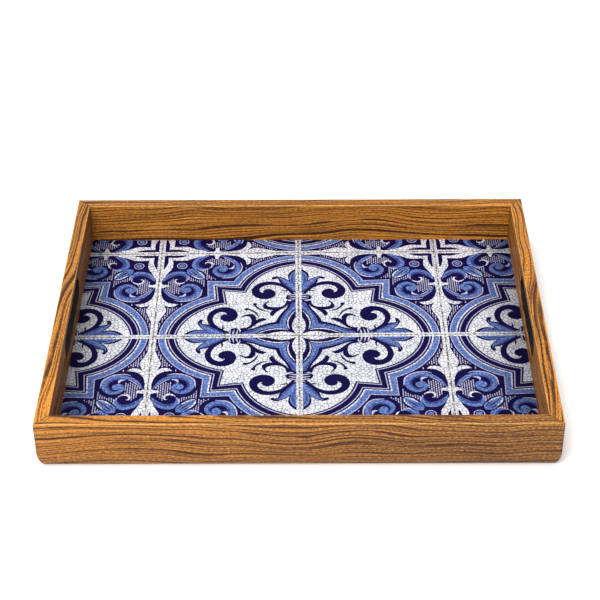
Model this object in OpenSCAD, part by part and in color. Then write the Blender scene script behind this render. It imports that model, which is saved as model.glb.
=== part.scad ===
// Rectangular serving tray: four mitred, veneer-wrapped rails, a grooved-in base board
// with a printed sheet on top, and a hand hole through each short rail.
// The origin is on the surface that the tray stands on, below its middle.
// +X runs along the long side, +Y towards the back rail, +Z up.

/* [Tray] */
// Length of the tray, outside the short rails
tray_length = 400; // [260:1:600]
// Width of the tray, outside the long rails
tray_width = 312; // [220:1:480]
// Height of the rails above the surface that the tray stands on
tray_height = 43.5; // [36:0.5:70]

/* [Rails] */
// Thickness of each rail, with its veneer
rail_thickness = 10.8; // [10:0.2:18]
// Thickness of the veneer that wraps each rail
veneer_thickness = 0.5; // [0.3:0.1:0.8]
// Height above the base at which the outer face starts to curve inwards
belly_height = 16; // [12:0.5:18]
// Radius of the curve on the lower part of the outer face
belly_radius = 35; // [32:1:60]
// Radius of the lowest outer edge, where the belly turns under
foot_radius = 4; // [2:0.5:4.5]

/* [Base] */
// Thickness of the base board
board_thickness = 3; // [2:0.5:4]
// Height of the base board's lower face above the surface that the tray stands on
board_lift = 3; // [2:0.5:5]
// How far the groove in each rail is cut in from the rail's inner face
groove_depth = 4; // [3:0.5:4.5]
// Gap between the board's edge and the bottom of the groove
board_edge_gap = 0.5; // [0.2:0.1:1]
// Gap between the top of the base board and the upper side of the groove
board_face_gap = 0.1; // [0.05:0.05:0.3]
// Thickness of the printed sheet on the base board
print_thickness = 0.5; // [0.3:0.1:1]
// Thickness of the plain sheet under the base board
backing_thickness = 0.3; // [0.2:0.1:0.6]
// Gap between the edges of both sheets and the rails
sheet_gap = 0.1; // [0.05:0.05:0.4]

/* [Hand holes] */
// Length of the hole through each short rail
hole_length = 98; // [70:1:130]
// Height of the hole, which has full round ends
hole_height = 20; // [15:0.5:24]
// Wood left above the hole
hole_drop = 5.8; // [4:0.2:8]
// Thickness of the black band round the wall of the hole
edging_thickness = 0.8; // [0.4:0.1:1.5]
// How far the band stops short of both faces of the rail
edging_setback = 0.2; // [0.1:0.1:0.6]
// Gap between the band and each round end of the hole
edging_end_gap = 0.05; // [0.05:0.05:0.2]

/* [Corner splines] */
// Thickness of the tongue hidden in each mitre
spline_thickness = 2.5; // [1.5:0.5:3]
// Length of the tongue across the mitre
spline_length = 8; // [6:0.5:8]
// Wood left between the top of the base board's groove and the tongue
spline_above_groove = 4; // [2:0.5:8]
// Wood left between the top of the rail and the tongue
spline_below_top = 8; // [6:0.5:10]
// Gap left for glue round the sides and the top of the tongue
spline_glue_gap = 0.1; // [0.05:0.05:0.2]

/* [Hidden] */

$fn = 96;
// Cuts run past the faces they go through by this much
past = 1;
// Areas that make up one section lap over each other by this much
lap = 1;

// The belly is an arc that leaves the outer face upright at belly_height. It runs into
// the arc of the foot where both have the same slope, foot_turn degrees below level.
foot_turn = asin((belly_height - foot_radius) / (belly_radius - foot_radius));
foot_center_in = belly_radius - (belly_radius - foot_radius) * cos(foot_turn);

// Heights
board_top = board_lift + board_thickness;
groove_top = board_top + board_face_gap;
spline_bottom = groove_top + spline_above_groove;
spline_top = tray_height - spline_below_top;
hole_center_height = tray_height - hole_drop - hole_height / 2;

// Plan sizes inside the rails, and how far the board goes into each groove
well_length = tray_length - 2 * rail_thickness;
well_width = tray_width - 2 * rail_thickness;
board_tongue = groove_depth - board_edge_gap;

// Section of a rail, with its outer face on x = 0, its inner face on x = rail_thickness
// and its foot on y = 0. skin is what is taken off the outer, inner and top faces.
module rail_section(skin) {
    inner = rail_thickness - skin;
    join_height = foot_radius - (foot_radius - skin) * sin(foot_turn);
    translate([skin, belly_height])
        square([inner - skin, tray_height - skin - belly_height]);
    intersection() {
        translate([belly_radius, belly_height]) circle(r = belly_radius - skin);
        translate([0, join_height]) square([inner, belly_height + lap - join_height]);
    }
    intersection() {
        translate([foot_center_in, foot_radius]) circle(r = foot_radius - skin);
        square([inner, join_height + lap]);
    }
    translate([foot_center_in, 0])
        square([inner - foot_center_in, join_height + lap]);
}

// Keeps what lies between the two mitres of a rail whose outer edge is length long
module mitred(length) {
    outer = length / 2 + past;
    inner = length / 2 - rail_thickness - past;
    intersection() {
        children();
        translate([0, 0, -past])
            linear_extrude(tray_height + 2 * past)
                polygon([
                    [-outer, -past], [outer, -past],
                    [inner, rail_thickness + past], [-inner, rail_thickness + past]
                ]);
    }
}

// Runs the section drawn by the children along x, centred, with its outer face on y = 0
module moulding(length) {
    run = length + 2 * past;
    translate([-run / 2, 0, 0]) rotate([90, 0, 90]) linear_extrude(run) children();
}

// Space of the groove that the base board sits in, in a rail's own place
module groove(length) {
    translate([-length / 2 - past, rail_thickness - groove_depth, board_lift])
        cube([length + 2 * past, groove_depth + past, groove_top - board_lift]);
}

// Bar with full round ends, centred on the hand hole, from depth y_from to depth y_to
module hand_hole_bar(length, height, y_from, y_to) {
    end_x = (length - height) / 2;
    translate([0, y_to, hole_center_height]) rotate([90, 0, 0])
        linear_extrude(y_to - y_from) {
            square([2 * end_x, height], center = true);
            for (side = [-1, 1]) translate([side * end_x, 0]) circle(r = height / 2);
        }
}

module hand_hole() {
    hand_hole_bar(hole_length, hole_height, -past, rail_thickness + past);
}

module rail_core(length) {
    difference() {
        mitred(length) moulding(length) rail_section(veneer_thickness);
        groove(length);
    }
}

module rail_veneer(length) {
    difference() {
        mitred(length) moulding(length) difference() {
            rail_section(0);
            rail_section(veneer_thickness);
        }
        groove(length);
    }
}

// Places of the four sides: the children are drawn with their outer face on y = 0
module on_front() { translate([0, -tray_width / 2, 0]) children(); }
module on_back() { rotate(180) on_front() children(); }
module on_left() { translate([-tray_length / 2, 0, 0]) rotate(-90) children(); }
module on_right() { rotate(180) on_left() children(); }

// Tongue across the mitre of the corner at side_x, side_y, grown by gap for its slot
module spline(side_x, side_y, gap) {
    center_x = side_x * (tray_length - rail_thickness) / 2;
    center_y = side_y * (tray_width - rail_thickness) / 2;
    size = [spline_length + 2 * gap, spline_thickness + 2 * gap, spline_top - spline_bottom + gap];
    translate([center_x, center_y, spline_bottom])
        rotate(-45 * side_x * side_y)
            translate([-size[0] / 2, -size[1] / 2, 0]) cube(size);
}

module spline_slots() {
    for (side_x = [-1, 1], side_y = [-1, 1]) spline(side_x, side_y, spline_glue_gap);
}

// Rails
module front_rail_core() {
    color("burlywood") difference() {
        on_front() rail_core(tray_length);
        spline_slots();
    }
}

module back_rail_core() {
    color("burlywood") difference() {
        on_back() rail_core(tray_length);
        spline_slots();
    }
}

module left_rail_core() {
    color("burlywood") difference() {
        on_left() rail_core(tray_width);
        on_left() hand_hole();
        spline_slots();
    }
}

module right_rail_core() {
    color("burlywood") difference() {
        on_right() rail_core(tray_width);
        on_right() hand_hole();
        spline_slots();
    }
}

module front_rail_veneer() {
    color("peru") on_front() rail_veneer(tray_length);
}

module back_rail_veneer() {
    color("peru") on_back() rail_veneer(tray_length);
}

module left_rail_veneer() {
    color("peru") on_left() difference() {
        rail_veneer(tray_width);
        hand_hole();
    }
}

module right_rail_veneer() {
    color("peru") on_right() difference() {
        rail_veneer(tray_width);
        hand_hole();
    }
}

// Base
module flat_panel(length, width, bottom, thickness) {
    translate([-length / 2, -width / 2, bottom]) cube([length, width, thickness]);
}

module base_board() {
    color("saddlebrown")
        flat_panel(well_length + 2 * board_tongue, well_width + 2 * board_tongue,
            board_lift, board_thickness);
}

module tile_print_sheet() {
    color("royalblue")
        flat_panel(well_length - 2 * sheet_gap, well_width - 2 * sheet_gap,
            board_top, print_thickness);
}

module underside_sheet() {
    color("sienna")
        flat_panel(well_length - 2 * sheet_gap, well_width - 2 * sheet_gap,
            board_lift - backing_thickness, backing_thickness);
}

// Black bands in the hand holes
module hand_hole_edging() {
    outer_length = hole_length - 2 * edging_end_gap;
    difference() {
        hand_hole_bar(outer_length, hole_height, edging_setback, rail_thickness - edging_setback);
        hand_hole_bar(outer_length - 2 * edging_thickness, hole_height - 2 * edging_thickness,
            -past, rail_thickness + past);
    }
}

module left_hand_hole_edging() { color("black") on_left() hand_hole_edging(); }
module right_hand_hole_edging() { color("black") on_right() hand_hole_edging(); }

// Tongues in the mitres
module front_left_spline() { color("tan") spline(-1, -1, 0); }
module front_right_spline() { color("tan") spline(1, -1, 0); }
module back_left_spline() { color("tan") spline(-1, 1, 0); }
module back_right_spline() { color("tan") spline(1, 1, 0); }

front_rail_core();
back_rail_core();
left_rail_core();
right_rail_core();
front_rail_veneer();
back_rail_veneer();
left_rail_veneer();
right_rail_veneer();
base_board();
tile_print_sheet();
underside_sheet();
left_hand_hole_edging();
right_hand_hole_edging();
front_left_spline();
front_right_spline();
back_left_spline();
back_right_spline();
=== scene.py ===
import math

import bmesh
import bpy
from mathutils import Matrix, Vector
from mathutils.geometry import delaunay_2d_cdt


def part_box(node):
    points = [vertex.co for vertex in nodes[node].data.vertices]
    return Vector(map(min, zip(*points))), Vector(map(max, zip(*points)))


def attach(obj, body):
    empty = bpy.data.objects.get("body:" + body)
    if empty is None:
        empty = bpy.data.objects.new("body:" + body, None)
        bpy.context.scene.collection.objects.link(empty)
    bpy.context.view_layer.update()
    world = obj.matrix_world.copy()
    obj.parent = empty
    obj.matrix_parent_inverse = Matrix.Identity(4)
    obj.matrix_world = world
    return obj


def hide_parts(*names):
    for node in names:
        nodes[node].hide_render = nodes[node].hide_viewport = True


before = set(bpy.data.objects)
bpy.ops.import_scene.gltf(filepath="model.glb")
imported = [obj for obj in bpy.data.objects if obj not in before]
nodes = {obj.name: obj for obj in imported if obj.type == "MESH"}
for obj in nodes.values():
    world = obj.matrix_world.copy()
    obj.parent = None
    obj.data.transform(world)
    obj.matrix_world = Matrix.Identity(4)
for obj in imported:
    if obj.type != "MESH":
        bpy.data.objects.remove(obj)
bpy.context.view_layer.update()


# ---------------------------------------------------------------------------------------
# Rail cores: four mitred lengths of fibreboard moulding, grooved for the base board.
# Fine pressed fibre shows only under the feet, in the groove and at the mitres.

def add_node(tree, kind, inputs=None, **settings):
    """Adds a shader node. inputs maps its sockets to values or to other nodes' outputs."""
    made = tree.nodes.new(kind)
    for name, value in settings.items():
        setattr(made, name, value)
    for socket, value in (inputs or {}).items():
        if isinstance(value, bpy.types.NodeSocket):
            tree.links.new(value, made.inputs[socket])
        else:
            made.inputs[socket].default_value = value
    return made


def calculate(tree, operation, *values, clamp=False):
    """Output of a Math node that works on the values."""
    made = add_node(tree, "ShaderNodeMath", dict(enumerate(values)), operation=operation)
    made.use_clamp = clamp
    return made.outputs[0]


def grade(tree, value, low, high, to_low=0.0, to_high=1.0, smooth=True):
    """Output that goes from to_low to to_high as the value goes from low to high."""
    made = add_node(
        tree, "ShaderNodeMapRange",
        {"Value": value, "From Min": low, "From Max": high, "To Min": to_low, "To Max": to_high},
        interpolation_type="SMOOTHSTEP" if smooth else "LINEAR")
    return made.outputs["Result"]


def blend_colors(tree, share, first, second):
    """Output colour, from first to second as share goes from 0 to 1."""
    made = add_node(tree, "ShaderNodeMix", data_type="RGBA")
    for socket, value in (("Factor_Float", share), ("A_Color", first), ("B_Color", second)):
        target = next(s for s in made.inputs if s.identifier == socket)
        if isinstance(value, bpy.types.NodeSocket):
            tree.links.new(value, target)
        else:
            target.default_value = value
    return next(s for s in made.outputs if s.identifier == "Result_Color")


def noise(tree, place, scale, detail=2.0, roughness=0.5):
    """Height of a noise that is about 0.5 on average."""
    made = add_node(tree, "ShaderNodeTexNoise",
                    {"Vector": place, "Scale": scale, "Detail": detail, "Roughness": roughness})
    return made.outputs["Fac"]


def stretched(tree, place, x, y, z):
    """The place with its three parts multiplied by x, y and z."""
    made = add_node(tree, "ShaderNodeVectorMath", {0: place, 1: (x, y, z)}, operation="MULTIPLY")
    return made.outputs[0]


def start_material(name):
    """An empty material with its Principled BSDF: returns the material, tree and shader."""
    material = bpy.data.materials.new(name)
    material.use_nodes = True
    tree = material.node_tree
    tree.nodes.clear()
    shader = add_node(tree, "ShaderNodeBsdfPrincipled")
    add_node(tree, "ShaderNodeOutputMaterial", {"Surface": shader.outputs[0]})
    return material, tree, shader


def raise_surface(tree, shader, height, distance, strength=1.0):
    """Feeds a height between 0 and 1 to the shader's normal, distance being its depth."""
    bump = add_node(tree, "ShaderNodeBump",
                    {"Height": height, "Distance": distance, "Strength": strength})
    tree.links.new(bump.outputs[0], shader.inputs["Normal"])


def object_place(tree):
    return add_node(tree, "ShaderNodeTexCoord").outputs["Object"]


def pressed_fiber_group():
    """Short matted fibres: puts out a colour mask and a height."""
    tree = bpy.data.node_groups.new("Pressed fiber", "ShaderNodeTree")
    tree.interface.new_socket("Place", in_out="INPUT", socket_type="NodeSocketVector")
    tree.interface.new_socket("Fineness", in_out="INPUT", socket_type="NodeSocketFloat")
    tree.interface.new_socket("Fiber", in_out="OUTPUT", socket_type="NodeSocketFloat")
    tree.interface.new_socket("Height", in_out="OUTPUT", socket_type="NodeSocketFloat")
    entry = add_node(tree, "NodeGroupInput")
    place = add_node(tree, "ShaderNodeVectorMath",
                     {0: entry.outputs["Place"], "Scale": entry.outputs["Fineness"]},
                     operation="SCALE").outputs[0]
    strands = [noise(tree, stretched(tree, place, *lay), 1.0, 3.0, 0.6)
               for lay in ((420, 2100, 2100), (2100, 420, 2100), (2100, 2100, 420))]
    matted = calculate(tree, "MAXIMUM", calculate(tree, "MAXIMUM", strands[0], strands[1]),
                       strands[2])
    cloud = noise(tree, place, 60.0, 3.0)
    fiber = calculate(tree, "ADD", grade(tree, matted, 0.45, 0.8),
                      calculate(tree, "MULTIPLY", cloud, 0.4), clamp=True)
    add_node(tree, "NodeGroupOutput", {"Fiber": fiber, "Height": matted})
    return tree


pressed_fiber = pressed_fiber_group()


def fiber_material(name, dark, light, fineness, roughness):
    material, tree, shader = start_material(name)
    group = add_node(tree, "ShaderNodeGroup", node_tree=pressed_fiber)
    tree.links.new(object_place(tree), group.inputs["Place"])
    group.inputs["Fineness"].default_value = fineness
    color = blend_colors(tree, group.outputs["Fiber"], dark, light)
    tree.links.new(color, shader.inputs["Base Color"])
    shader.inputs["Roughness"].default_value = roughness
    raise_surface(tree, shader, group.outputs["Height"], 0.00012)
    return material


fiberboard = fiber_material("fiberboard", (0.19, 0.115, 0.06, 1), (0.40, 0.27, 0.155, 1),
                            1.0, 0.85)


def finish_node(name, material):
    """Gives a CAD piece that stays as it is the one material."""
    slots = nodes[name].data.materials
    slots.clear()
    slots.append(material)


for side in ("front", "back", "left", "right"):
    finish_node(f"{side}_rail_core", fiberboard)


# ---------------------------------------------------------------------------------------
# Corner splines: a flat tongue of darker hardboard glued into a slot across each mitre.
# They lie wholly inside the corners.

spline_board = fiber_material("spline_hardboard", (0.085, 0.045, 0.024, 1),
                              (0.20, 0.115, 0.062, 1), 1.5, 0.7)
for corner in ("front_left", "front_right", "back_left", "back_right"):
    finish_node(f"{corner}_spline", spline_board)


# ---------------------------------------------------------------------------------------
# Base board: 3 mm dense fibreboard, slid into the grooves of the four rails.
# Its faces are covered, so only its edge shows, inside the groove.

base_fiber = fiber_material("base_fiberboard", (0.12, 0.07, 0.038, 1), (0.27, 0.17, 0.095, 1),
                            1.3, 0.75)
finish_node("base_board", base_fiber)


# ---------------------------------------------------------------------------------------
# Tile print: a thin sheet glued to the base board, printed with blue and white tiles and
# their joints. Each area of ink is drawn by faces of its own, under one crazed clear coat.

TILE_PITCH = 0.12275
PRINT_SHIFT = (-0.00048, 0.00163)
PRINT_TURN = 0.0102
PRINT_CELL = 100.0
MARGIN = 2.1
GROUT = 0.6
SAME_PLACE = 1e-6
INKS = {
    "white": (0.65, 0.65, 0.70, 1),
    "pale": (0.47, 0.45, 0.61, 1),
    "blue": (0.068, 0.135, 0.38, 1),
    "shade": (0.018, 0.034, 0.17, 1),
    "navy": (0.0032, 0.0009, 0.038, 1),
    "grout": (0.10, 0.09, 0.07, 1),
}


def smooth(knots, steps=7):
    """Points along a smooth curve through the knots."""
    points = []
    last = len(knots) - 1
    for i in range(last):
        before = knots[max(i - 1, 0)]
        start = knots[i]
        end = knots[i + 1]
        after = knots[min(i + 2, last)]
        for k in range(steps):
            t = k / steps
            points.append(tuple(
                0.5 * (2 * b + (c - a) * t + (2 * a - 5 * b + 4 * c - d) * t * t
                       + (3 * b - a - 3 * c + d) * t ** 3)
                for a, b, c, d in zip(before, start, end, after)))
    points.append(tuple(knots[-1]))
    return points


def arc_through(start, middle, end, steps=24):
    """Points along the circular arc from start through middle to end."""
    (ax, ay), (bx, by), (cx, cy) = start, middle, end
    twist = 2 * (ax * (by - cy) + bx * (cy - ay) + cx * (ay - by))
    a2, b2, c2 = ax * ax + ay * ay, bx * bx + by * by, cx * cx + cy * cy
    ox = (a2 * (by - cy) + b2 * (cy - ay) + c2 * (ay - by)) / twist
    oy = (a2 * (cx - bx) + b2 * (ax - cx) + c2 * (bx - ax)) / twist
    radius = math.hypot(ax - ox, ay - oy)
    first = math.atan2(ay - oy, ax - ox)
    turn = math.atan2(cy - oy, cx - ox) - first
    half = math.atan2(by - oy, bx - ox) - first
    if turn % math.tau < half % math.tau:
        turn = turn % math.tau - math.tau
    else:
        turn = turn % math.tau
    return [(ox + radius * math.cos(first + turn * k / steps),
             oy + radius * math.sin(first + turn * k / steps)) for k in range(steps + 1)]


def disc(x, y, radius, steps=28):
    return [(x + radius * math.cos(math.tau * k / steps),
             y + radius * math.sin(math.tau * k / steps)) for k in range(steps)]


def brush(knots, steps=7):
    """Outline of a brush stroke. Each knot is x, y and the width of the stroke there."""
    line = smooth(knots, steps)
    left, right = [], []
    for i, (x, y, width) in enumerate(line):
        x0, y0, _ = line[max(i - 1, 0)]
        x1, y1, _ = line[min(i + 1, len(line) - 1)]
        length = math.hypot(x1 - x0, y1 - y0)
        nx, ny = (y0 - y1) / length, (x1 - x0) / length
        left.append((x + nx * width / 2, y + ny * width / 2))
        right.append((x - nx * width / 2, y - ny * width / 2))
    return left + right[::-1]


def inside(point, outline):
    """True if the point lies in the closed outline."""
    x, y = point
    odd = False
    for (x0, y0), (x1, y1) in zip(outline, outline[1:] + outline[:1]):
        if (y0 > y) != (y1 > y) and x < x0 + (y - y0) * (x1 - x0) / (y1 - y0):
            odd = not odd
    return odd


def band_edge(share):
    """Outline of the medallion, from its outer edge (share 0) to its inner edge (1)."""
    foot = (96.5 - 12.8 * share, MARGIN)
    flank = (84.9 - 12.9 * share, 31.2 - 6.0 * share)
    shoulder = (64.4 - 14.4 * share, 46.4 - 9.4 * share)
    notch = 65.3 - 13.0 * share
    return [(0, 0), (foot[0], 0)] + arc_through(foot, flank, shoulder) + [(notch, notch)]


def hatching(area, mirrored, step_x=1.55, step_y=2.4, line=0.68, tall=1.95):
    """Short dashes of a fine hatch, laid like bricks, where they lie in the area. They are
    upright on the print, also in the half tile that is mirrored in the diagonal."""
    if mirrored:
        area = [(y, x) for x, y in area]
    low_x, high_x = min(x for x, y in area), max(x for x, y in area)
    low_y, high_y = min(y for x, y in area), max(y for x, y in area)
    marks = []
    for row in range(int((high_y - low_y) / step_y) + 1):
        for column in range(int((high_x - low_x) / step_x) + 1):
            x = low_x + column * step_x
            y = low_y + (row + 0.5 * (column % 2)) * step_y
            if inside((x, y), area) and inside((x + line, y + tall), area):
                marks.append([(x, y), (x + line, y), (x + line, y + tall), (x, y + tall)])
    if mirrored:
        marks = [[(x, y) for y, x in mark] for mark in marks]
    return marks


def half_tile(mirrored):
    """The inked areas of half a tile, as (ink, outline), in the order they are laid.

    A tile is 100 wide. The half lies below its diagonal, with the middle of the medallion
    at 0, 0 and the middle of the corner flower at 100, 100."""
    laid = []

    def lay(ink, *outlines):
        for outline in outlines:
            laid.append((ink, outline))

    # whole half tile, then the dark corner, cut back where the white leaves lie
    lay("white", [(0, 0), (100, 0), (100, 100)])
    lay("navy", [(0, 0), (97.5, 0), (97.5, 15)]
        + smooth([(97.5, 16), (95.6, 22), (93.3, 28), (93.3, 32), (95.4, 36.9)])
        + smooth([(95.4, 36.9), (91.5, 34.6), (87.5, 35), (85, 37.4)])
        + smooth([(85, 37.4), (91.5, 38.8), (96, 43.8), (97.7, 51), (97.7, 57)])
        + [(97.7, 66)]
        + smooth([(97.3, 67), (94.2, 75.5), (91.2, 82), (91.4, 91.4)]))
    lay("white", smooth([(98, 57), (95.4, 57.9), (93.2, 58.1), (92.4, 59.3)])
        + smooth([(92.4, 59.3), (93.2, 60.5), (95.4, 60.7), (98, 61.6)]))

    # hatching on the dark corner
    by_edge = [(97.2, 5), (97, 17), (95, 22.4), (93, 28), (93, 34), (87, 34), (83, 38.4),
               (76, 40.6), (83.4, 34), (89.4, 25), (94.6, 13)]
    lay("pale", *hatching(by_edge, mirrored))
    between = [(83.4, 48.6), (89, 48.4), (93, 51.6), (95.6, 57), (92, 59), (94.8, 63.2),
               (91.4, 70.4), (88.4, 70), (88, 64), (84, 62)]
    lay("pale", *hatching(between, mirrored))
    by_notch = [(65.9, 54.6), (68.2, 57), (71.6, 62.4), (76, 64.6), (82, 64.6), (80.6, 73),
                (76, 70), (66.4, 67.6)]
    lay("pale", *hatching(by_notch, mirrored))

    # medallion band, from the outside in
    for ink, share in (
        ("navy", -0.10), ("pale", 0), ("blue", 0.045), ("white", 0.335), ("navy", 0.41),
        ("pale", 0.50), ("navy", 0.555), ("pale", 0.84), ("navy", 0.895), ("white", 0.985),
    ):
        lay(ink, band_edge(share))

    # lower scroll of the corner
    lay("navy", brush([(97, 55, 1), (93, 45.5, 6), (86, 41.6, 6), (77, 42.6, 5.5), (70, 48, 5),
                       (69.2, 56, 5), (74, 62, 5), (80.5, 62, 4), (85, 57.5, 3)]))
    lay("pale", brush([(88, 42.2, 0.3), (83, 40.8, 0.9), (76, 42.2, 1), (70, 47.2, 1),
                       (68.7, 55, 0.4)]))
    lay("blue", brush([(97, 57.4, 0.4), (93.6, 50.6, 1.9), (88.4, 46, 3.3), (82, 43.8, 4),
                       (75.4, 45.4, 4.4), (71.6, 50.4, 4.2), (72.4, 56.6, 4.2), (77, 60, 4),
                       (81.8, 58, 3.8), (83, 54.6, 3), (81.2, 52, 2.2), (79, 51.8, 1.4)]))
    lay("blue", disc(79.3, 54.4, 2.9))
    lay("shade", brush([(93.6, 51.8, 0.3), (88.6, 47.4, 1.2), (82, 45.4, 1.4), (76, 47.2, 1.6),
                        (73.3, 51.4, 1.6), (74.1, 55.8, 1.4), (77.5, 58.9, 1.2), (81, 57.6, 0.4)]))
    lay("navy", brush([(75.6, 52.6, 0.3), (75.9, 55.8, 1.1), (78.2, 57.9, 1), (80.8, 57.4, 0.8),
                       (82, 55.6, 0.3)]))
    lay("pale", brush([(80.6, 50.4, 0.3), (81.2, 47.6, 2), (84.8, 46.6, 0.3)]))
    lay("pale", brush([(94.6, 54, 0.3), (89.6, 48.6, 0.6), (86.4, 46.6, 0.3)]))

    # upper scroll of the corner
    lay("navy", brush([(97.2, 62, 2), (95.4, 66, 5), (90, 72, 6), (84, 73, 5)]))
    lay("blue", brush([(97, 65, 0.4), (94.6, 69.6, 3), (90.5, 73.6, 4.7), (85, 75.2, 4.4),
                       (80.9, 73, 3.9), (80.2, 68.5, 2.7), (82, 65.2, 0.6)]))
    lay("shade", brush([(95.4, 68, 0.3), (91, 72.2, 2.2), (85.6, 73.5, 2.2), (82, 71.4, 1.6),
                        (81.2, 68.4, 0.3)]))
    lay("navy", disc(84.4, 67.4, 3.7))
    lay("pale", brush([(79.6, 73, 0.3), (78.7, 69.6, 0.7), (80.6, 66, 0.3)]))
    lay("white", brush([(81.2, 64.6, 0.3), (83.2, 62.8, 1.1), (86.2, 62.3, 1.5),
                        (88.5, 64.4, 1.5), (88.1, 67.2, 0.9), (86.4, 67.4, 0.3)]))

    # leaf on the diagonal, and the ring between the scrolls and the corner flower
    lay("navy", smooth([(66.8, 66.8), (71, 66.4), (75.4, 68), (78.6, 71.4), (81, 75), (81, 81)]))
    lay("blue", smooth([(67.8, 67.4), (71, 67.5), (74.4, 69), (77.2, 71.8), (79.6, 74),
                        (80.6, 77), (80.2, 80.2)]))
    lay("shade", brush([(74.6, 71.6, 0.3), (77.4, 74, 1.5), (79.4, 77.4, 0.4)]))
    lay("white", brush([(68.6, 67.8, 0.3), (71.6, 68.4, 1), (74.8, 70.4, 0.9), (77, 72.8, 0.3)]))
    lay("navy", [(70.8, 70.8)] + smooth([(70.8, 70.8), (74.8, 74), (78.4, 78.4)]))
    lay("pale", disc(84.4, 84.4, 3.7))
    lay("navy", disc(84.4, 84.4, 3.15))
    lay("blue", disc(84.4, 84.4, 2.2))

    # inner leaf of the corner flower
    lay("navy", smooth([(97.7, 97.7), (94.8, 94.8)]) + smooth(
        [(94.8, 94.8), (94.6, 89), (95.6, 84.5), (97.3, 79.6)]) + [(97.7, 82)])

    # middle of the medallion: four arms with a white petal between each pair
    lay("navy", [(1.6, 1.6), (16, 16)] + smooth(
        [(15.8, 16), (20.5, 14.6), (26, 12), (32, 8.6), (40, 6.4)]) + [(41, 1.6)])
    lay("blue", [(7.4, 7.4), (13.6, 13.6)] + smooth(
        [(13.6, 13.6), (20, 12.2), (26, 9.8), (32, 6.7), (38, 4.4), (39, 2)]) + smooth(
        [(31.5, 2), (27.5, 5), (22, 7.6), (15.5, 8.9), (10.5, 8.4), (7.4, 7.4)]))
    lay("shade", brush([(27, 8.2, 0.3), (31, 6, 1.6), (35, 4.2, 2), (38.4, 3, 1.4)]))
    lay("shade", brush([(12.8, 12.2, 0.3), (18, 11.6, 0.9), (24, 9.8, 0.9), (29, 7.6, 0.3)]))
    lay("white", brush([(7.4, 6.6, 0.3), (11, 7.5, 0.8), (16, 7.7, 0.9), (22, 6.2, 0.9),
                        (28.5, 2.8, 0.4)]))
    lay("white", smooth([(1.6, 1.6), (6.5, 4), (12, 4.7), (18.5, 3.2), (25, 0)]) + [(1.6, 0)])

    # flower at the end of the arm
    lay("navy", smooth([(48.5, 1), (55, 8), (62, 13), (67, 14.6), (66.6, 18.4), (68.6, 19.2)])
        + smooth([(68.6, 19.2), (70.3, 15), (67.6, 9.4), (65, 6.8)])
        + smooth([(65, 6.8), (71, 7.6), (76, 5.6), (80.5, 1)]))
    lay("blue", smooth([(50, 1), (56, 6.6), (62.4, 11.4), (67.8, 13.6), (68.4, 16.4)])
        + smooth([(68.4, 16.4), (68.8, 13.4), (66.4, 9), (62.6, 5.6)])
        + smooth([(62.6, 5.6), (69, 6.4), (74, 4.8), (78, 1)]))
    lay("shade", brush([(52, 3.6, 0.4), (58, 7.6, 1.5), (63.6, 11.2, 0.9), (67, 13.2, 0.2)]))
    lay("shade", brush([(58, 2.8, 0.4), (64.6, 4.6, 1.4), (70.4, 4.2, 1.2), (75.6, 1.8, 0.3)]))

    # ball scroll that springs from the tie
    lay("navy", smooth([(48, 2), (57, 8), (62.6, 14.6), (63.9, 22), (61.4, 28.6), (56.2, 32.6),
                        (50, 33.2), (44.8, 30.2), (42.5, 24.6), (43.7, 19.4), (47.2, 16.4),
                        (51.4, 16.8), (54.4, 19.6), (54.4, 23.2), (51.6, 25.4), (50.2, 24.6)])
        + smooth([(50.2, 24.6), (51.4, 27), (54.6, 27.6), (58.2, 25), (59.8, 19.8),
                  (58, 13.4), (53, 8), (47, 4)]))
    lay("navy", brush([(53, 12.6, 0.4), (52.4, 9, 1.3), (54, 6, 1)]))

    # sprig on the other side of the tie
    lay("navy", smooth([(40, 6), (34, 8.4), (30.5, 12), (27, 15.6), (22, 18.2)])
        + smooth([(22, 18.2), (24.4, 20.3), (28, 19.4), (29.6, 18)])
        + smooth([(29.6, 18), (30, 22), (32.4, 24.9), (36, 24.8), (38.6, 23.2), (40.8, 21.4)])
        + smooth([(40.8, 21.4), (39.6, 21), (37, 22.6), (34.4, 21.8), (33, 18), (33.4, 13),
                  (36, 9.8), (41, 8.6)]))
    lay("navy", brush([(28, 21.4, 0.5), (29.6, 25.6, 1.4), (32.4, 29, 1.5), (36, 31, 1.9)]))
    lay("navy", disc(36.5, 30.8, 1.5, 14))

    # tie round the arm
    lay("navy", smooth([(40.5, 1), (41, 6), (43, 9), (45.4, 8.8), (47.8, 7), (49.4, 1)]))
    for x in (42.6, 45.2, 47.6):
        lay("pale", brush([(x - 0.7, 7.2, 0.3), (x, 4.4, 1), (x + 0.5, 1, 1)]))

    # unprinted margin of the tile, and the joint
    lay("white", [(0, 0), (100, 0), (100, MARGIN), (0, MARGIN)])
    lay("white", [(100 - MARGIN, 0), (100, 0), (100, 100), (100 - MARGIN, 100 - MARGIN)])
    lay("grout", [(0, 0), (100, 0), (100, GROUT), (0, GROUT)])
    lay("grout", [(100 - GROUT, 0), (100, 0), (100, 100), (100 - GROUT, 100 - GROUT)])
    return laid


def turned_left(outline):
    """The outline, running anticlockwise."""
    area = sum(x0 * y1 - x1 * y0 for (x0, y0), (x1, y1) in zip(outline, outline[1:] + outline[:1]))
    return outline if area > 0 else outline[::-1]


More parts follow.
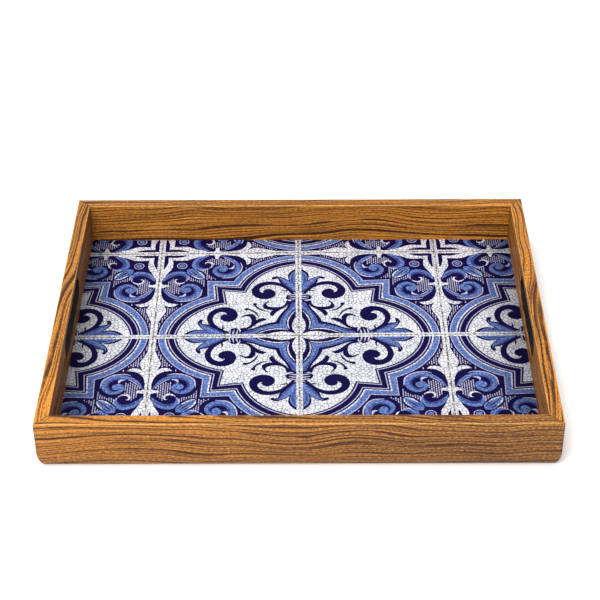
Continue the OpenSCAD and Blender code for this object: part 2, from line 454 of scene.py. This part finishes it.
def print_mesh():
    """Mesh of the whole print, cut to the sheet's edges, with its ink on each face."""
    halves = []
    for mirrored in (False, True):
        laid = half_tile(mirrored)
        points, outlines = [], []
        for _, outline in laid:
            outline = turned_left(outline)
            outlines.append(list(range(len(points), len(points) + len(outline))))
            points += [Vector(point) for point in outline]
        spots, _, faces, _, _, sources = delaunay_2d_cdt(points, [], outlines, 1, 1e-4)
        inked = [(face, laid[max(source)][0])
                 for face, source in zip(faces, sources) if 0 in source]
        halves.append((mirrored, spots, inked))

    mesh = bmesh.new()
    color = mesh.loops.layers.float_color.new("ink")
    low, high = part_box("tile_print_sheet")
    turn = Matrix.Rotation(PRINT_TURN, 2)
    unit = TILE_PITCH / PRINT_CELL
    for column in range(-2, 2):
        for row in range(-2, 2):
            # every tile is the mirror image of its neighbours
            start_x = (column + column % 2) * TILE_PITCH
            start_y = (row + row % 2) * TILE_PITCH
            way_x = -1 if column % 2 else 1
            way_y = -1 if row % 2 else 1
            for mirrored, spots, inked in halves:
                made = []
                for spot in spots:
                    x, y = (spot.y, spot.x) if mirrored else (spot.x, spot.y)
                    flat = turn @ Vector((start_x + way_x * x * unit, start_y + way_y * y * unit))
                    made.append(mesh.verts.new((flat.x + PRINT_SHIFT[0], flat.y + PRINT_SHIFT[1],
                                                high.z)))
                flip = (way_x * way_y < 0) != mirrored
                for face, ink in inked:
                    corners = [made[i] for i in (face[::-1] if flip else face)]
                    for loop in mesh.faces.new(corners).loops:
                        loop[color] = INKS[ink]
    bmesh.ops.remove_doubles(mesh, verts=mesh.verts, dist=SAME_PLACE)
    for corner, outward in ((low, -1), (high, 1)):
        for axis in (0, 1):
            normal = [0, 0, 0]
            normal[axis] = outward
            bmesh.ops.bisect_plane(mesh, geom=mesh.verts[:] + mesh.edges[:] + mesh.faces[:],
                                   plane_co=corner, plane_no=normal, clear_outer=True)
    bmesh.ops.remove_doubles(mesh, verts=mesh.verts, dist=SAME_PLACE)

    # sides and underside of the sheet
    rim = [edge for edge in mesh.edges if edge.is_boundary]
    sides = bmesh.ops.extrude_edge_only(mesh, edges=rim)["geom"]
    lowered = [item for item in sides if isinstance(item, bmesh.types.BMVert)]
    for vert in lowered:
        vert.co.z = low.z
    middle = mesh.verts.new(((low.x + high.x) / 2, (low.y + high.y) / 2, low.z))
    for edge in [e for e in mesh.edges if e.is_boundary]:
        mesh.faces.new((*edge.verts, middle))
    for face in mesh.faces:
        if face.calc_center_median().z < high.z - SAME_PLACE:
            for loop in face.loops:
                loop[color] = INKS["white"]
    return mesh


def add_piece(name, mesh):
    """Turns the mesh that was built into an object in the scene, its faces turned outwards."""
    bmesh.ops.recalc_face_normals(mesh, faces=mesh.faces)
    data = bpy.data.meshes.new(name)
    mesh.to_mesh(data)
    mesh.free()
    piece = bpy.data.objects.new(name, data)
    bpy.context.scene.collection.objects.link(piece)
    return piece


def crazed_print_material():
    """Ink under a clear coat that is crazed like old tile glaze, with painted shade towards the
    short rails.
    """
    material, tree, shader = start_material("crazed_tile_print")
    place = object_place(tree)
    ink = add_node(tree, "ShaderNodeAttribute", attribute_name="ink").outputs["Color"]
    parts = add_node(tree, "ShaderNodeSeparateColor", {"Color": ink})
    whiteness = grade(tree, parts.outputs["Red"], 0.2, 0.7)

    # net of fine cracks, broken up so that no cell is regular
    bend = add_node(tree, "ShaderNodeTexNoise", {"Vector": place, "Scale": 260.0, "Detail": 2.0})
    bent = add_node(tree, "ShaderNodeVectorMath",
                    {0: bend.outputs["Color"], "Scale": 0.0016}, operation="SCALE").outputs[0]
    craze_place = add_node(tree, "ShaderNodeVectorMath", {0: place, 1: bent},
                           operation="ADD").outputs[0]
    nets = []
    for scale, width in ((300.0, 0.17), (560.0, 0.13)):
        net = add_node(tree, "ShaderNodeTexVoronoi", {"Vector": craze_place, "Scale": scale},
                       voronoi_dimensions="2D", feature="DISTANCE_TO_EDGE")
        nets.append(grade(tree, net.outputs["Distance"], width * 0.35, width, 1.0, 0.0))
    patches = grade(tree, noise(tree, place, 45.0, 2.0), 0.44, 0.6)
    small = calculate(tree, "MULTIPLY", nets[1], calculate(tree, "MULTIPLY", patches, 0.6))
    craze = calculate(tree, "MAXIMUM", nets[0], small)
    fade = grade(tree, noise(tree, place, 130.0, 2.0), 0.3, 0.6, 0.5, 1.0)
    craze = calculate(tree, "MULTIPLY", craze, fade)

    # the blue is a wash of uneven strength, with fine paler specks
    blueness = calculate(tree, "MULTIPLY", grade(tree, parts.outputs["Blue"], 0.08, 0.30),
                         calculate(tree, "SUBTRACT", 1.0, whiteness))
    wash = noise(tree, place, 640.0, 1.0, 0.5)
    light_wash = calculate(tree, "MULTIPLY", grade(tree, wash, 0.52, 0.68, 0.0, 0.5), blueness)
    dark_wash = calculate(tree, "MULTIPLY", grade(tree, wash, 0.32, 0.50, 0.85, 0.0), blueness)
    thin_blue = (0.30, 0.42, 0.76, 1)
    thick_blue = (0.022, 0.035, 0.19, 1)
    washed = blend_colors(tree, dark_wash, blend_colors(tree, light_wash, ink, thin_blue),
                          thick_blue)
    speck = grade(tree, noise(tree, place, 760.0, 3.0, 0.7), 0.60, 0.72)
    speck_color = (0.50, 0.55, 0.75, 1)
    veil = blend_colors(tree, calculate(tree, "MULTIPLY", speck,
                                        calculate(tree, "MULTIPLY_ADD", blueness, 0.28, 0.004)),
                        washed, speck_color)
    dirt = calculate(tree, "MULTIPLY", craze,
                     calculate(tree, "MAXIMUM", calculate(tree, "MULTIPLY", whiteness, 0.9),
                               calculate(tree, "MULTIPLY_ADD", blueness, 0.6, 0.04)))
    dirt_color = (0.095, 0.095, 0.12, 1)
    crazed = blend_colors(tree, dirt, veil, dirt_color)

    # the joints, the only warm ink, are dirty in some places and dusty in others
    joint = grade(tree, calculate(tree, "SUBTRACT", parts.outputs["Red"],
                                  parts.outputs["Blue"]), 0.005, 0.02)
    dusty = grade(tree, noise(tree, place, 420.0, 2.0), 0.42, 0.60, 0.0, 0.75)
    dust_color = (0.52, 0.51, 0.47, 1)
    jointed = blend_colors(tree, calculate(tree, "MULTIPLY", joint, dusty), crazed, dust_color)

    # painted shade: the whole print darkens towards the short rails, standing for the shade the
    # rails cast on it
    spot = add_node(tree, "ShaderNodeSeparateXYZ", {"Vector": place})
    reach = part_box("tile_print_sheet")[1].x
    from_rail = calculate(tree, "SUBTRACT", reach, calculate(tree, "ABSOLUTE", spot.outputs["X"]))
    painted_rail_shade = (0.0, 0.0, 0.004, 1)
    color = blend_colors(tree, grade(tree, from_rail, 0.004, 0.048, 0.52, 0.0), jointed, painted_rail_shade)
    tree.links.new(color, shader.inputs["Base Color"])
    haze = noise(tree, place, 24.0, 3.0)
    tree.links.new(grade(tree, haze, 0.3, 0.7, 0.34, 0.44), shader.inputs["Roughness"])
    shader.inputs["Specular IOR Level"].default_value = 0.03
    raise_surface(tree, shader, calculate(tree, "SUBTRACT", 1.0, craze), 0.00004)
    return material


tile_print = add_piece("tile_print", print_mesh())
tile_print.data.materials.append(crazed_print_material())
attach(tile_print, "root")
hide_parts("tile_print_sheet")


# ---------------------------------------------------------------------------------------
# Rail veneers: one leaf of wood-grain veneer wrapped round each rail, from under the belly,
# over the top and down to the base board, with a narrow strip below the groove.

VENEER = 0.0005
BELLY_HEIGHT = 0.016
BELLY_RADIUS = 0.035
FOOT_RADIUS = 0.004
GROOVE_BOTTOM = 0.003
GROOVE_TOP = 0.0061
ARRIS = 0.0007
MITRE_GAP = 0.00004
HOLE_LENGTH = 0.098
HOLE_HEIGHT = 0.020
HOLE_DROP = 0.0058
HOLE_EASE = 0.00025
CREASE = math.radians(32)

tray_low, tray_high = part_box("front_rail_veneer")
tray_length = tray_high.x - tray_low.x
rail_thickness = tray_high.y - tray_low.y
rail_height = tray_high.z - tray_low.z
tray_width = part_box("left_rail_veneer")[1].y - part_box("left_rail_veneer")[0].y
hole_middle = rail_height - HOLE_DROP - HOLE_HEIGHT / 2


def arc(x, y, radius, start, end, steps):
    """Points on an arc between two angles in radians."""
    return [(x + radius * math.cos(start + (end - start) * k / steps),
             y + radius * math.sin(start + (end - start) * k / steps)) for k in range(steps + 1)]


def belly(skin):
    """Outer face of a rail from its foot to where it turns upright, skin deep in the rail."""
    turn = math.asin((BELLY_HEIGHT - FOOT_RADIUS) / (BELLY_RADIUS - FOOT_RADIUS))
    foot_in = BELLY_RADIUS - (BELLY_RADIUS - FOOT_RADIUS) * math.cos(turn)
    return (arc(foot_in, FOOT_RADIUS, FOOT_RADIUS - skin, 1.5 * math.pi, math.pi + turn, 7)[:-1]
            + arc(BELLY_RADIUS, BELLY_HEIGHT, BELLY_RADIUS - skin, math.pi + turn, math.pi, 7))


def shown_face():
    """Section of the leaf's outside, as (depth, height), from the foot over to the groove."""
    top = rail_height - ARRIS
    return (belly(0) + arc(ARRIS, top, ARRIS, math.pi, math.pi / 2, 5)
            + arc(rail_thickness - ARRIS, top, ARRIS, math.pi / 2, 0, 5)
            + [(rail_thickness, GROOVE_TOP)])


def glued_face():
    """Section of the leaf's inside, from the groove back to the foot."""
    inner, top = rail_thickness - VENEER, rail_height - VENEER
    return [(inner, GROOVE_TOP), (inner, top), (VENEER, top)] + belly(VENEER)[::-1]


def girth_at(depth, height, path):
    """Distance along the leaf, from the foot, of the place on it that is nearest."""
    best, run = (1e9, 0.0), 0.0
    for (x0, y0), (x1, y1) in zip(path, path[1:]):
        length = math.hypot(x1 - x0, y1 - y0)
        share = ((depth - x0) * (x1 - x0) + (height - y0) * (y1 - y0)) / length ** 2
        share = min(max(share, 0.0), 1.0)
        away = math.hypot(x0 + share * (x1 - x0) - depth, y0 + share * (y1 - y0) - height)
        best = min(best, (away, run + share * length))
        run += length
    return best[1]


def mitred_run(mesh, section, length):
    """Adds the closed section, run along x and mitred at both ends."""
    ends = [[mesh.verts.new((side * (length / 2 - MITRE_GAP - depth), depth, height))
             for depth, height in section] for side in (-1, 1)]
    count = len(section)
    for i in range(count):
        j = (i + 1) % count
        mesh.faces.new((ends[0][i], ends[0][j], ends[1][j], ends[1][i]))
    mesh.faces.new(ends[0][::-1])
    mesh.faces.new(ends[1])


def hole_ring(mesh, depth, half_length, half_height, steps=20):
    """Ring of points round a bar with full round ends, at one depth in the rail."""
    reach = half_length - half_height
    outline = (arc(reach, hole_middle, half_height, -math.pi / 2, math.pi / 2, steps)
               + arc(-reach, hole_middle, half_height, math.pi / 2, 1.5 * math.pi, steps))
    return [mesh.verts.new((x, depth, z)) for x, z in outline]


def join_rings(mesh, rings, closed=False):
    """Faces between each ring and the next."""
    count = len(rings[0])
    for ring, following in zip(rings, rings[1:] + (rings[:1] if closed else [])):
        for i in range(count):
            j = (i + 1) % count
            mesh.faces.new((ring[i], ring[j], following[j], following[i]))


def hole_cutter():
    """Bar that cuts a hand hole, flared a little where it leaves each face of the rail."""
    mesh = bmesh.new()
    far = 0.002
    rings = [
        hole_ring(mesh, depth, HOLE_LENGTH / 2 + ease, HOLE_HEIGHT / 2 + ease)
        for depth, ease in ((-far, HOLE_EASE + far), (HOLE_EASE, 0),
                            (rail_thickness - HOLE_EASE, 0),
                            (rail_thickness + far, HOLE_EASE + far))
    ]
    join_rings(mesh, rings)
    mesh.faces.new(rings[0][::-1])
    mesh.faces.new(rings[-1])
    return add_piece("hand_hole_cutter", mesh)


def apply_modifiers(piece):
    """Makes what the modifiers do part of the mesh."""
    graph = bpy.context.evaluated_depsgraph_get()
    made = bpy.data.meshes.new_from_object(piece.evaluated_get(graph))
    piece.modifiers.clear()
    piece.data = made


def shade_evenly(piece, crease=None):
    """Smooth shading led by the larger faces, broken where the faces meet at a crease."""
    for polygon in piece.data.polygons:
        polygon.use_smooth = True
    if crease:
        piece.data.set_sharp_from_angle(angle=crease)
    even = piece.modifiers.new("even_shading", "WEIGHTED_NORMAL")
    even.keep_sharp = True


def rail_leaf(name, length, leaf, heart, cut, turn, outer, with_hole):
    """One wrapped rail. heart is how far round the leaf, from the foot, the middle of its
    figure runs. cut is how golden the leaf is at its two ends, how much more so on the inner
    face as painted light, how deep below it the heart of the tree lay, and the tree's taper.
    turn and outer put its outer face where it stands."""
    mesh = bmesh.new()
    mitred_run(mesh, shown_face() + glued_face(), length)
    inner = rail_thickness - VENEER
    mitred_run(mesh, [(inner, 0), (rail_thickness, 0), (rail_thickness, GROOVE_BOTTOM),
                      (inner, GROOVE_BOTTOM)], length)
    piece = add_piece(name, mesh)
    if with_hole:
        cutter = hole_cutter()
        opening = piece.modifiers.new("hand_hole", "BOOLEAN")
        opening.operation = "DIFFERENCE"
        opening.solver = "EXACT"
        opening.object = cutter
        apply_modifiers(piece)
        bpy.data.objects.remove(cutter)

    # where each point lies on the flat leaf: along the rail, across from the heart, and the
    # leaf's number, with its girth from the foot by itself
    path = shown_face()
    kinds = {"leaf_place": "FLOAT_VECTOR", "girth": "FLOAT", "leaf_cut": "FLOAT_VECTOR"}
    for attribute, kind in kinds.items():
        piece.data.attributes.new(attribute, kind, "POINT")
    place, around, sawn = [piece.data.attributes[attribute] for attribute in kinds]
    near_tone, far_tone, inner_light_tone, heart_depth, taper = cut
    for index, vert in enumerate(piece.data.vertices):
        girth = girth_at(vert.co.y, vert.co.z, path)
        around.data[index].value = girth
        tone = near_tone + (far_tone - near_tone) * (vert.co.x / length + 0.5)
        # painted light: the inner face is made more golden, standing for the light that falls on
        # it
        if vert.co.y > rail_thickness - ARRIS / 2:
            tone += inner_light_tone
        sawn.data[index].vector = (tone, heart_depth, taper)
        place.data[index].vector = (vert.co.x, girth - heart, leaf)
    shade_evenly(piece, CREASE)
    piece.data.transform(Matrix.Rotation(turn, 4, "Z") @ Matrix.Translation((0, -outer, 0)))
    return piece


def veneer_figure_group():
    """Grain of a flat-cut leaf: puts out masks for the streaks, pores, flecks and tone, and a
    height. The place is measured along the leaf, across it from its heart, and by its number."""
    tree = bpy.data.node_groups.new("Veneer figure", "ShaderNodeTree")
    tree.interface.new_socket("Leaf Place", in_out="INPUT", socket_type="NodeSocketVector")
    for name in ("Ring Spacing", "Wander", "Heart Depth", "Taper"):
        tree.interface.new_socket(name, in_out="INPUT", socket_type="NodeSocketFloat")
    for name in ("Streaks", "Pores", "Flecks", "Tone", "Height"):
        tree.interface.new_socket(name, in_out="OUTPUT", socket_type="NodeSocketFloat")
    entry = add_node(tree, "NodeGroupInput")
    place = entry.outputs["Leaf Place"]
    parts = add_node(tree, "ShaderNodeSeparateXYZ", {"Vector": place})
    along, across, leaf = parts.outputs["X"], parts.outputs["Y"], parts.outputs["Z"]

    # rings of the tree, cut nearly flat: each is as far from the heart as the part of the
    # leaf that shows it, and the heart dips away from the leaf along the tree's taper
    drift = noise(tree, stretched(tree, place, 9.0, 17.0, 5.3), 1.0, 1.0, 0.5)
    shift = calculate(tree, "MULTIPLY", calculate(tree, "SUBTRACT", drift, 0.5),
                      calculate(tree, "MULTIPLY", entry.outputs["Wander"], 2.0))
    aside = calculate(tree, "ADD", across, shift)
    sink = calculate(tree, "MULTIPLY_ADD", calculate(tree, "ADD", along, 0.2),
                     entry.outputs["Taper"], entry.outputs["Heart Depth"])
    radius = calculate(tree, "SQRT", calculate(
        tree, "ADD", calculate(tree, "MULTIPLY", aside, aside),
        calculate(tree, "MULTIPLY", sink, sink)))
    ripple = noise(tree, stretched(tree, place, 17.0, 45.0, 3.0), 1.0, 2.0, 0.5)
    ragged = noise(tree, stretched(tree, place, 120.0, 900.0, 2.0), 1.0, 2.0, 0.6)
    years = calculate(tree, "DIVIDE", radius, entry.outputs["Ring Spacing"])
    growth = add_node(tree, "ShaderNodeTexNoise",
                      {"W": calculate(tree, "MULTIPLY_ADD", leaf, 7.7,
                                      calculate(tree, "MULTIPLY", years, 0.45)),
                       "Scale": 1.0, "Detail": 1.0}, noise_dimensions="1D").outputs["Fac"]
    ring = calculate(tree, "MULTIPLY_ADD", growth, 2.4, years)
    ring = calculate(tree, "MULTIPLY_ADD", ripple, 0.7, ring)
    ring = calculate(tree, "MULTIPLY_ADD", ragged, 0.16, ring)
    part = calculate(tree, "FRACT", ring)
    line = calculate(tree, "MULTIPLY", grade(tree, part, 0.52, 0.86),
                     grade(tree, part, 0.88, 1.0, 1.0, 0.0))

    # no two rings are equally dark, each comes and goes along the rail, and its edge is
    # feathered by the pores that it is made of
    number = calculate(tree, "FLOOR", ring)
    own = add_node(tree, "ShaderNodeTexWhiteNoise",
                   {"W": calculate(tree, "MULTIPLY_ADD", leaf, 17.3, number)},
                   noise_dimensions="1D").outputs["Value"]
    flow = add_node(tree, "ShaderNodeCombineXYZ", {"X": along, "Y": radius, "Z": leaf}).outputs[0]
    come = noise(tree, stretched(tree, place, 14.0, 60.0, 4.1), 1.0, 2.0)
    feather = noise(tree, stretched(tree, place, 210.0, 1500.0, 6.6), 1.0, 2.0, 0.6)
    weight = calculate(tree, "MULTIPLY", calculate(tree, "MULTIPLY_ADD", own, 0.40, 0.60),
                       grade(tree, come, 0.34, 0.52, 0.7, 1.0))
    weight = calculate(tree, "MULTIPLY", weight, grade(tree, feather, 0.36, 0.60, 0.75, 1.1))
    hairs = noise(tree, stretched(tree, flow, 11.0, 950.0, 5.9), 1.0, 2.0, 0.6)
    streaks = calculate(tree, "MAXIMUM", calculate(tree, "MULTIPLY", line, weight),
                        grade(tree, hairs, 0.50, 0.66, 0.0, 0.46))

    # pores: short fine dashes along the grain
    dashes = noise(tree, stretched(tree, place, 170.0, 2300.0, 8.0), 1.0, 2.0, 0.6)
    fine = noise(tree, stretched(tree, place, 420.0, 3900.0, 6.0), 1.0, 2.0, 0.6)
    pores = calculate(tree, "MAXIMUM", grade(tree, dashes, 0.54, 0.66),
                      calculate(tree, "MULTIPLY", grade(tree, fine, 0.55, 0.70), 0.6))

    # flecks: short painted glints and painted shadows, standing for light and shade where the
    # grain dips in and out of the surface
    flecks = noise(tree, stretched(tree, place, 400.0, 1700.0, 9.0), 1.0, 2.0, 0.7)

    # tone: golden near the heart, browner away from it, with narrow bands in both
    broad = noise(tree, stretched(tree, place, 6.0, 26.0, 7.7), 1.0, 2.0)
    bands = noise(tree, stretched(tree, flow, 8.0, 260.0, 3.3), 1.0, 3.0, 0.6)
    near = grade(tree, radius, 0.008, 0.040, 0.70, 0.30)
    tone = calculate(tree, "MULTIPLY_ADD", broad, 0.8, calculate(tree, "MULTIPLY", bands, 1.8))
    tone = calculate(tree, "MULTIPLY_ADD", near, 0.6, tone)
    tone = calculate(tree, "SUBTRACT", tone, 1.1)
    height = calculate(tree, "SUBTRACT", 1.0, calculate(
        tree, "MULTIPLY_ADD", pores, 0.7, calculate(tree, "MULTIPLY", streaks, 0.3)))
    add_node(tree, "NodeGroupOutput", {"Streaks": streaks, "Pores": pores, "Flecks": flecks,
                                       "Tone": tone, "Height": height})
    return tree


veneer_figure = veneer_figure_group()


def girth_to(index):
    """Distance along the leaf from the foot to a point of its section."""
    path = shown_face()[:index + 1]
    return sum(math.hypot(x1 - x0, y1 - y0) for (x0, y0), (x1, y1) in zip(path, path[1:]))


def veneer_material():
    """Satin wood-grain leaf, rubbed paler on its arrises (partly wear, partly a painted
    highlight), with painted glints and shadows in its flecks and a dark line at each mitre.
    """
    material, tree, shader = start_material("rail_veneer")
    leaf_place = add_node(tree, "ShaderNodeAttribute", attribute_name="leaf_place")
    figure = add_node(tree, "ShaderNodeGroup", node_tree=veneer_figure)
    tree.links.new(leaf_place.outputs["Vector"], figure.inputs["Leaf Place"])
    figure.inputs["Ring Spacing"].default_value = 0.0028
    figure.inputs["Wander"].default_value = 0.014
    cut = add_node(tree, "ShaderNodeSeparateXYZ", {"Vector": add_node(
        tree, "ShaderNodeAttribute", attribute_name="leaf_cut").outputs["Vector"]})
    tree.links.new(cut.outputs["Y"], figure.inputs["Heart Depth"])
    tree.links.new(cut.outputs["Z"], figure.inputs["Taper"])

    gold = (0.57, 0.207, 0.023, 1)
    amber = (0.92, 0.335, 0.034, 1)
    brown = (0.235, 0.091, 0.022, 1)
    pale = (0.74, 0.37, 0.085, 1)
    dark = (0.050, 0.018, 0.007, 1)
    tone = calculate(tree, "ADD", calculate(tree, "SUBTRACT", figure.outputs["Tone"], 0.5),
                     cut.outputs["X"])
    # tone above 1 goes on to amber; on the back rail's inner face that brightness is painted light
    ground = blend_colors(tree, grade(tree, tone, 1.0, 1.6),
                          blend_colors(tree, tone, brown, gold), amber)
    # painted glints and painted shadows: the flecks lighten and darken the ground colour
    painted_glint = grade(tree, figure.outputs["Flecks"], 0.50, 0.64, 0.0, 0.65)
    painted_fleck_shadow = grade(tree, figure.outputs["Flecks"], 0.36, 0.50, 0.7, 0.0)
    flecked = blend_colors(tree, painted_fleck_shadow, blend_colors(tree, painted_glint, ground, pale), dark)
    pored = blend_colors(tree, calculate(tree, "MULTIPLY", figure.outputs["Pores"], 0.30),
                         flecked, dark)
    streak_color = (0.060, 0.021, 0.008, 1)
    streaked = blend_colors(tree, calculate(tree, "MULTIPLY", figure.outputs["Streaks"], 1.8,
                                            clamp=True), pored, streak_color)

    # arrises: the two top edges are rubbed paler, partly wear and partly a painted highlight along
    # them
    girth = add_node(tree, "ShaderNodeAttribute", attribute_name="girth").outputs["Fac"]
    outer_arris = girth_to(len(belly(0)) + 3)
    inner_arris = outer_arris + rail_thickness - 2 * ARRIS + ARRIS * math.pi / 2
    away = calculate(tree, "MINIMUM", *[
        calculate(tree, "ABSOLUTE", calculate(tree, "SUBTRACT", girth, arris))
        for arris in (outer_arris, inner_arris)])
    broken = grade(tree, noise(tree, stretched(tree, leaf_place.outputs["Vector"], 220, 900, 3),
                               1.0, 2.0), 0.35, 0.6, 0.35, 1.0)
    rubbed = calculate(tree, "MULTIPLY", grade(tree, away, 0.0003, 0.0009, 1.0, 0.0), broken)
    rubbed_and_highlit_color = (0.80, 0.43, 0.13, 1)
    worn_and_highlit = blend_colors(tree, calculate(tree, "MULTIPLY", rubbed, 0.55), streaked, rubbed_and_highlit_color)

    # mitres: a thin line of glue and dust where the ends of two rails meet
    spot = add_node(tree, "ShaderNodeSeparateXYZ", {"Vector": object_place(tree)})
    reach_x = calculate(tree, "ABSOLUTE", spot.outputs["X"])
    reach_y = calculate(tree, "ABSOLUTE", spot.outputs["Y"])
    offset = calculate(tree, "SUBTRACT", calculate(tree, "SUBTRACT", reach_x, reach_y),
                       (tray_length - tray_width) / 2)
    joint = grade(tree, calculate(tree, "ABSOLUTE", offset), 0.0001, 0.0007, 1.0, 0.0)
    glue_color = (0.05, 0.022, 0.010, 1)
    color = blend_colors(tree, calculate(tree, "MULTIPLY", joint, 0.6), worn_and_highlit, glue_color)
    tree.links.new(color, shader.inputs["Base Color"])

    gloss = calculate(tree, "MULTIPLY_ADD", figure.outputs["Pores"], 0.14,
                      calculate(tree, "MULTIPLY_ADD", figure.outputs["Tone"], -0.10, 0.49))
    tree.links.new(gloss, shader.inputs["Roughness"])
    shader.inputs["Specular IOR Level"].default_value = 0.18
    raise_surface(tree, shader, figure.outputs["Height"], 0.00009)
    return material


rail_wrap = veneer_material()
quarter = math.pi / 2
for side, number, heart, cut, turn, length, outer in (
    ("front", 1, 0.056, (0.84, 0.02, 0, 0.015, -0.035), 0, tray_length, tray_width / 2),
    ("right", 2, 0.030, (1.10, 0.84, 0, 0.012, 0.03), quarter, tray_width, tray_length / 2),
    # the back leaf's 0.6 for its inner face is painted light
    ("back", 3, 0.118, (0.70, 0.70, 0.6, 0.012, 0.03), 2 * quarter, tray_length,
     tray_width / 2),
    ("left", 4, 0.036, (0.30, 1.30, 0, 0.010, 0.05), -quarter, tray_width, tray_length / 2),
):
    leaf = rail_leaf(f"{side}_veneer", length, number, heart, cut, turn, outer,
                     side in ("left", "right"))
    leaf.data.materials.clear()
    leaf.data.materials.append(rail_wrap)
    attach(leaf, "root")
    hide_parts(f"{side}_rail_veneer")


# ---------------------------------------------------------------------------------------
# Hand-hole edging: a thin black plastic band pressed against the wall of each hole, its
# lips rounded and just short of the rail's faces.

BAND = 0.0008
BAND_SETBACK = 0.0002
BAND_END_GAP = 0.00005
BAND_LIP = 0.00035


def band_section():
    """Closed section of the band, as (depth in the rail, distance in from its outside)."""
    near = BAND_SETBACK + BAND_LIP
    far = rail_thickness - near
    outside, inside_edge = BAND_LIP, BAND - BAND_LIP
    lips = []
    for x, y, start in ((near, outside, 2 * quarter), (far, outside, 3 * quarter),
                        (far, inside_edge, 0), (near, inside_edge, quarter)):
        lips += arc(x, y, BAND_LIP, start, start + quarter, 4)
    return lips


def edging_material():
    """Black plastic with a faint moulded grain, dulled where hands rub it."""
    material, tree, shader = start_material("black_edging")
    place = object_place(tree)
    grain = noise(tree, place, 2600.0, 3.0, 0.6)
    rubbed = noise(tree, place, 90.0, 2.0)
    color = blend_colors(tree, grade(tree, rubbed, 0.35, 0.7), (0.004, 0.0035, 0.0035, 1),
                         (0.011, 0.0095, 0.0085, 1))
    tree.links.new(color, shader.inputs["Base Color"])
    tree.links.new(grade(tree, rubbed, 0.3, 0.7, 0.52, 0.66), shader.inputs["Roughness"])
    shader.inputs["Specular IOR Level"].default_value = 0.18
    raise_surface(tree, shader, grain, 0.00004)
    return material


black_edging = edging_material()
for side, turn in (("left", -quarter), ("right", quarter)):
    mesh = bmesh.new()
    rings = [hole_ring(mesh, depth, HOLE_LENGTH / 2 - BAND_END_GAP - inward,
                       HOLE_HEIGHT / 2 - inward) for depth, inward in band_section()]
    join_rings(mesh, rings, closed=True)
    band = add_piece(f"{side}_edging", mesh)
    band.data.transform(Matrix.Rotation(turn, 4, "Z")
                        @ Matrix.Translation((0, -tray_length / 2, 0)))
    shade_evenly(band)
    band.data.materials.append(black_edging)
    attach(band, "root")
    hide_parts(f"{side}_hand_hole_edging")


# ---------------------------------------------------------------------------------------
# Underside sheet: thin brown paper foil with a printed grain, glued under the base board.
# It shows only when the tray is turned over.

def underside_material():
    material, tree, shader = start_material("underside_foil")
    place = object_place(tree)
    figure = add_node(tree, "ShaderNodeGroup", node_tree=veneer_figure)
    tree.links.new(place, figure.inputs["Leaf Place"])
    for name, value in (("Ring Spacing", 0.0075), ("Wander", 0.03), ("Heart Depth", 0.03),
                        ("Taper", 0.035)):
        figure.inputs[name].default_value = value
    ground = blend_colors(tree, figure.outputs["Tone"], (0.16, 0.075, 0.032, 1),
                          (0.27, 0.135, 0.058, 1))
    marks = calculate(tree, "MAXIMUM", calculate(tree, "MULTIPLY", figure.outputs["Streaks"], 0.6),
                      calculate(tree, "MULTIPLY", figure.outputs["Pores"], 0.3))
    color = blend_colors(tree, marks, ground, (0.07, 0.032, 0.016, 1))
    tree.links.new(color, shader.inputs["Base Color"])
    tree.links.new(grade(tree, figure.outputs["Tone"], 0.3, 0.7, 0.62, 0.52),
                   shader.inputs["Roughness"])
    raise_surface(tree, shader, figure.outputs["Height"], 0.00005)
    return material


finish_node("underside_sheet", underside_material())


# ---------------------------------------------------------------------------------------
# Studio: a plain white floor, one large soft light overhead, one from the front left, and
# even white surroundings.

def white_floor():
    material, tree, shader = start_material("white_floor")
    shader.inputs["Base Color"].default_value = (0.93, 0.93, 0.93, 1)
    shader.inputs["Roughness"].default_value = 0.9
    shader.inputs["Specular IOR Level"].default_value = 0.1
    half = 6.0
    data = bpy.data.meshes.new("floor")
    data.from_pydata([(-half, -half, 0), (half, -half, 0), (half, half, 0), (-half, half, 0)], [],
                     [(0, 1, 2, 3)])
    data.materials.append(material)
    floor = bpy.data.objects.new("floor", data)
    bpy.context.scene.collection.objects.link(floor)


def soft_light(name, place, size, power):
    """A square light that is aimed at the middle of the tray."""
    data = bpy.data.lights.new(name, "AREA")
    data.shape = "SQUARE"
    data.size = size
    data.energy = power
    light = bpy.data.objects.new(name, data)
    light.location = place
    light.rotation_mode = "QUATERNION"
    aim = Vector((0, 0, 0.02)) - Vector(place)
    light.rotation_quaternion = aim.to_track_quat("-Z", "Y")
    bpy.context.scene.collection.objects.link(light)


white_floor()
soft_light("top_light", (-0.3, 0.3, 2.3), 2.4, 48)
soft_light("key_light", (-0.7, -1.65, 2.1), 1.6, 63)
world = bpy.data.worlds.new("studio")
world.use_nodes = True
surroundings = world.node_tree.nodes["Background"]
surroundings.inputs["Color"].default_value = (1, 1, 1, 1)
surroundings.inputs["Strength"].default_value = 0.46
bpy.context.scene.world = world
bpy.context.scene.view_settings.view_transform = "Standard"


# ---------------------------------------------------------------------------------------
# Camera: a long lens, looking down on the tray from in front of its front rail.

CAMERA_PLACE = (0.008146, -1.08627, 0.8397)
CAMERA_DOWN = 0.6318
CAMERA_YAW = -0.0070
CAMERA_ROLL = -0.0071
LENS_MM = 97.66
SENSOR_MM = 36.0

ahead = Vector((math.sin(CAMERA_YAW) * math.cos(CAMERA_DOWN),
                math.cos(CAMERA_YAW) * math.cos(CAMERA_DOWN), -math.sin(CAMERA_DOWN)))
across = Vector((math.cos(CAMERA_YAW), -math.sin(CAMERA_YAW), 0))
above = across.cross(ahead)
camera_right = math.cos(CAMERA_ROLL) * across + math.sin(CAMERA_ROLL) * above
camera_up = camera_right.cross(ahead)
camera_data = bpy.data.cameras.new("camera")
camera_data.lens = LENS_MM
camera_data.sensor_width = SENSOR_MM
camera = bpy.data.objects.new("camera", camera_data)
camera.matrix_world = Matrix.Translation(CAMERA_PLACE) @ Matrix(
    (camera_right, camera_up, -ahead)).transposed().to_4x4()
bpy.context.scene.collection.objects.link(camera)
bpy.context.scene.camera = camera
